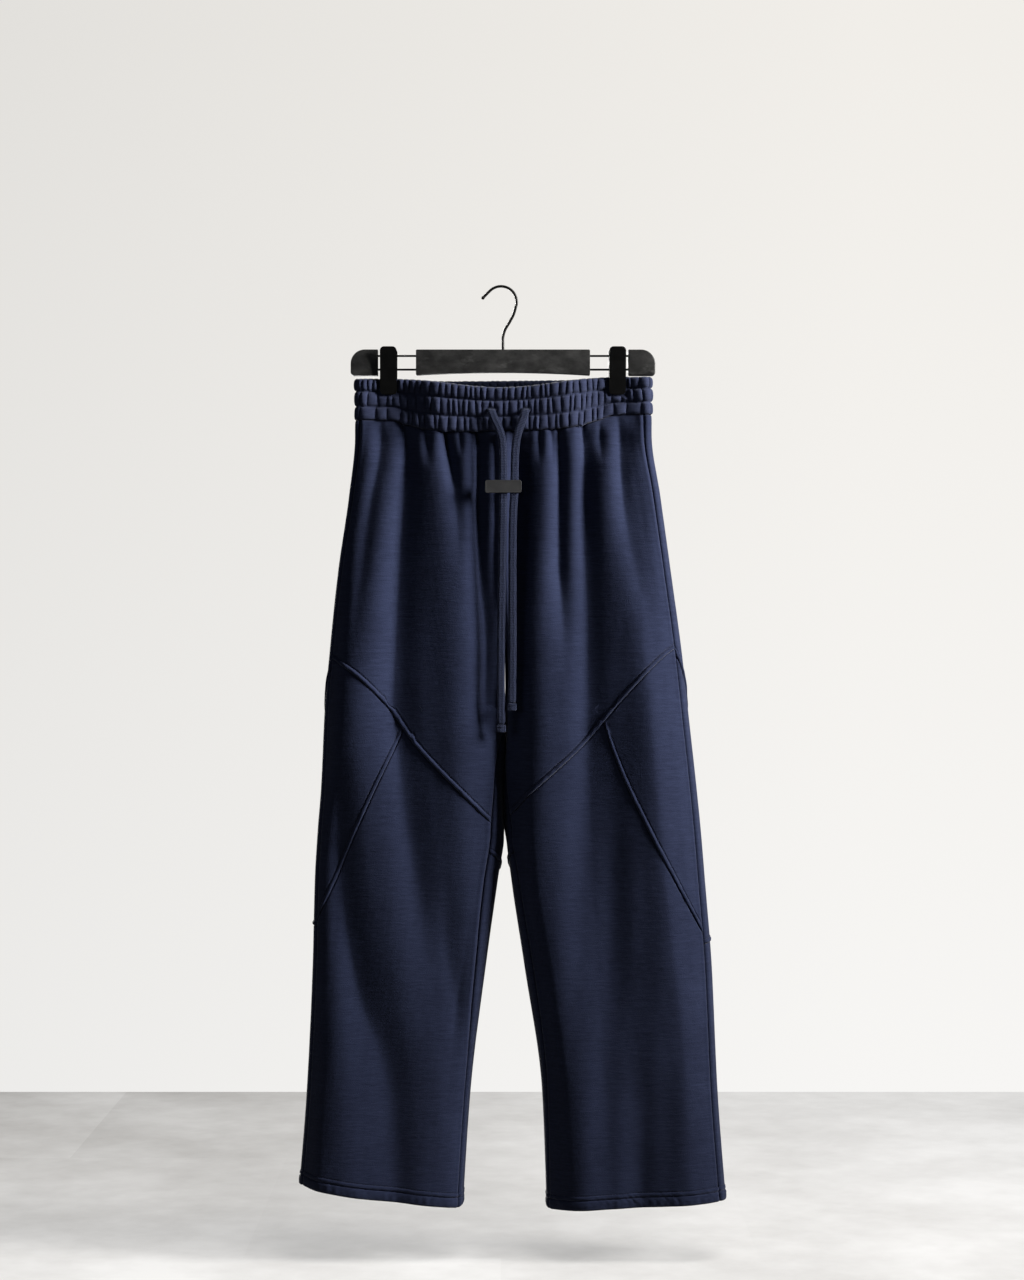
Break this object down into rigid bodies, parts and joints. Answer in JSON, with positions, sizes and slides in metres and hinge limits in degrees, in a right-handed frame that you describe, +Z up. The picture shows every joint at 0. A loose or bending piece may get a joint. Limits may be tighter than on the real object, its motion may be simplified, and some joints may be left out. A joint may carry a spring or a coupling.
{
  "type": "wide-leg track pants on a clip hanger",
  "caption": "Wide-leg drawstring track pants with an elasticated waistband and slanted thigh seams, hung by the waistband from a clip hanger.",
  "frame": {"origin": "inner top of the hook, where a rail or peg carries the hanger", "axes": "+Z up, -Y the wearer's front, +X the wearer's left"},
  "size_m": [0.5111, 0.1013, 1.1041],
  "materials": {
    "fleece": "brushed navy fleece, matte with a short soft nap",
    "waistband_fleece": "the same navy fleece, double and gathered in three rows over elastic",
    "braid": "flat braided navy cord, matte",
    "keeper_rubber": "moulded dark grey rubber, matte and bare",
    "bar_plastic": "dark grey moulded plastic, satin",
    "black_plastic": "black moulded plastic, satin",
    "black_wire": "drawn steel wire, blackened, satin"
  },
  "bodies": {
    "root": {"front_upper_left": "fleece", "front_side_left": "fleece", "front_leg_left": "fleece", "back_upper_left": "fleece", "back_side_left": "fleece", "back_leg_left": "fleece", "front_upper_right": "fleece", "front_side_right": "fleece", "front_leg_right": "fleece", "back_upper_right": "fleece", "back_side_right": "fleece", "back_leg_right": "fleece", "waistband": "waistband_fleece", "drawcord_left": "braid", "cord_end_left": "braid", "drawcord_right": "braid", "cord_end_right": "braid", "cord_keeper": "keeper_rubber", "hanger_bar": "bar_plastic", "hanger_end_left": "black_plastic", "clip_left_front": "black_plastic", "clip_left_back": "black_plastic", "clip_left_slider": "black_plastic", "clip_left_pin": "black_wire", "hanger_end_right": "black_plastic", "clip_right_front": "black_plastic", "clip_right_back": "black_plastic", "clip_right_slider": "black_plastic", "clip_right_pin": "black_wire", "hanger_rod_upper": "black_wire", "hanger_rod_lower": "black_wire", "hanger_hook": "black_wire"}
  },
  "joints": []
}
